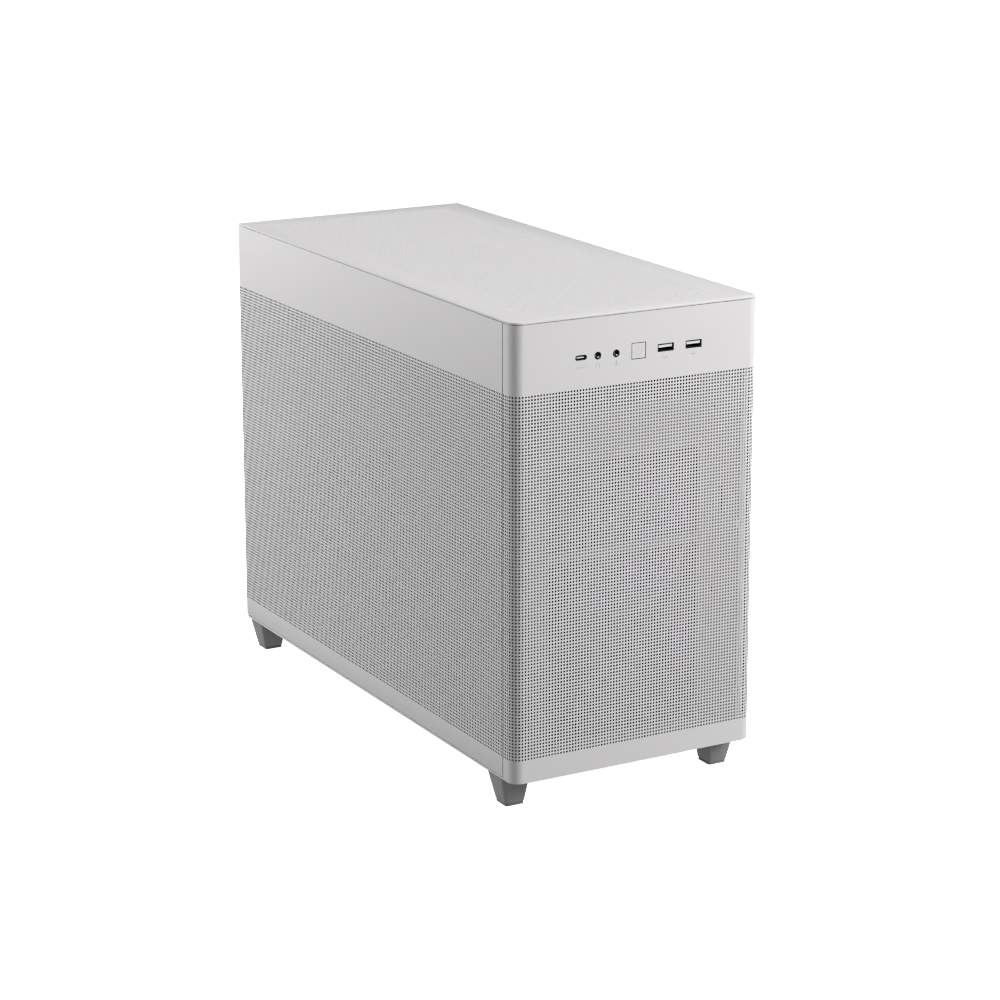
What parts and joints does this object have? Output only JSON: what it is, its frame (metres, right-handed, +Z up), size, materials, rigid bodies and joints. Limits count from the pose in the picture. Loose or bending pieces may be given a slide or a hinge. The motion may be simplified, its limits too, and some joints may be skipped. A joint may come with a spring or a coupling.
{
  "type": "desktop computer tower",
  "caption": "Compact desktop computer tower with a perforated white steel case, front sockets, power button and full working insides.",
  "frame": {"origin": "on the floor under the middle of the case: the undersides of the foot pads are at z = 0", "axes": "+X to the right when looking at the front, +Y from the front to the rear, +Z up"},
  "size_m": [0.205, 0.46, 0.3635],
  "materials": {
    "white_paint": "fine powder coat",
    "black_paint": "fine powder coat",
    "dark_plastic": "satin",
    "white_plastic": "satin",
    "rubber": "matte",
    "steel": "satin",
    "aluminium": "satin",
    "circuit_board": "matte",
    "cable_sleeve": "matte"
  },
  "bodies": {
    "case": {"chassis_base": "white_paint", "front_frame": "white_paint", "rear_panel": "white_paint", "motherboard_tray": "white_paint", "top_frame": "white_paint", "psu_bracket": "white_paint", "psu_housing": "black_paint", "foot_front_left": "dark_plastic", "foot_front_right": "dark_plastic", "foot_rear_left": "dark_plastic", "foot_rear_right": "dark_plastic", "button_housing": "dark_plastic", "power_switch": "dark_plastic", "headphone_jack": "dark_plastic", "microphone_jack": "dark_plastic", "mains_inlet": "dark_plastic", "mains_plug": "dark_plastic", "port_block": "dark_plastic", "memory_module_1": "white_plastic", "memory_module_2": "white_plastic", "rear_fan_frame": "white_plastic", "cpu_fan_frame": "white_plastic", "graphics_shroud": "white_plastic", "foot_pad_front_left": "rubber", "foot_pad_front_right": "rubber", "foot_pad_rear_left": "rubber", "foot_pad_rear_right": "rubber", "io_bracket": "steel", "usb_a_port_left": "steel", "usb_a_port_right": "steel", "usb_c_port": "steel", "io_shield": "steel", "graphics_bracket": "steel", "slot_cover_1": "steel", "slot_cover_2": "steel", "cooler_base": "aluminium", "cpu_heatsink": "aluminium", "graphics_heatsink": "aluminium", "solid_state_drive": "aluminium", "io_board": "circuit_board", "motherboard": "circuit_board", "graphics_board": "circuit_board", "mains_lead": "cable_sleeve", "board_power_cable": "cable_sleeve", "graphics_power_cable": "cable_sleeve", "front_io_cable": "cable_sleeve"},
    "power_button": {"power_button": "white_paint"},
    "left_panel": {"left_panel": "white_paint"},
    "right_panel": {"right_panel": "white_paint"},
    "front_panel": {"front_panel": "white_paint"},
    "top_panel": {"top_panel": "white_paint"},
    "thumbscrew_left": {"thumbscrew_left": "steel"},
    "thumbscrew_right": {"thumbscrew_right": "steel"},
    "bottom_filter": {"bottom_filter": "dark_plastic"},
    "rear_fan_rotor": {"rear_fan_rotor": "white_plastic"},
    "cpu_fan_rotor": {"cpu_fan_rotor": "white_plastic"},
    "psu_fan_rotor": {"psu_fan_rotor": "dark_plastic"},
    "graphics_fan_1": {"graphics_fan_1": "white_plastic"},
    "graphics_fan_2": {"graphics_fan_2": "white_plastic"},
    "psu_rocker": {"psu_rocker": "dark_plastic"}
  },
  "joints": [
    {"name": "power_button_press", "type": "slide", "parent": "case", "child": "power_button", "axis": [0, 1, 0], "range_m": [0, 0.001], "stiffness_N_per_m": 1500},
    {"name": "left_panel_pull", "type": "slide", "parent": "case", "child": "left_panel", "axis": [-1, 0, 0], "range_m": [0, 0.08]},
    {"name": "right_panel_pull", "type": "slide", "parent": "case", "child": "right_panel", "axis": [1, 0, 0], "range_m": [0, 0.08]},
    {"name": "front_panel_pull", "type": "slide", "parent": "case", "child": "front_panel", "axis": [0, -1, 0], "range_m": [0, 0.08]},
    {"name": "top_panel_lift", "type": "slide", "parent": "case", "child": "top_panel", "axis": [0, 0, 1], "range_m": [0, 0.06]},
    {"name": "bottom_filter_slide", "type": "slide", "parent": "case", "child": "bottom_filter", "axis": [0, 1, 0], "range_m": [0, 0.2]},
    {"name": "thumbscrew_left_turn", "type": "hinge", "parent": "case", "child": "thumbscrew_left", "pos_m": [-0.07, 0.225, 0.354], "axis": [0, 1, 0], "continuous": true},
    {"name": "thumbscrew_right_turn", "type": "hinge", "parent": "case", "child": "thumbscrew_right", "pos_m": [0.07, 0.225, 0.354], "axis": [0, 1, 0], "continuous": true},
    {"name": "rear_fan_spin", "type": "hinge", "parent": "case", "child": "rear_fan_rotor", "pos_m": [-0.038, 0.2099, 0.262], "axis": [0, 1, 0], "continuous": true},
    {"name": "cpu_fan_spin", "type": "hinge", "parent": "case", "child": "cpu_fan_rotor", "pos_m": [-0.025, 0.101, 0.232], "axis": [0, 1, 0], "continuous": true},
    {"name": "psu_fan_spin", "type": "hinge", "parent": "case", "child": "psu_fan_rotor", "pos_m": [0, -0.195, 0.186], "axis": [0, 1, 0], "continuous": true},
    {"name": "graphics_fan_1_spin", "type": "hinge", "parent": "case", "child": "graphics_fan_1", "pos_m": [0.007, 0.148, 0.117], "axis": [0, 0, 1], "continuous": true},
    {"name": "graphics_fan_2_spin", "type": "hinge", "parent": "case", "child": "graphics_fan_2", "pos_m": [0.007, 0.04, 0.117], "axis": [0, 0, 1], "continuous": true},
    {"name": "psu_rocker_tilt", "type": "hinge", "parent": "case", "child": "psu_rocker", "pos_m": [0.01, -0.163, 0.261], "axis": [1, 0, 0], "range_deg": [0, 16]}
  ]
}
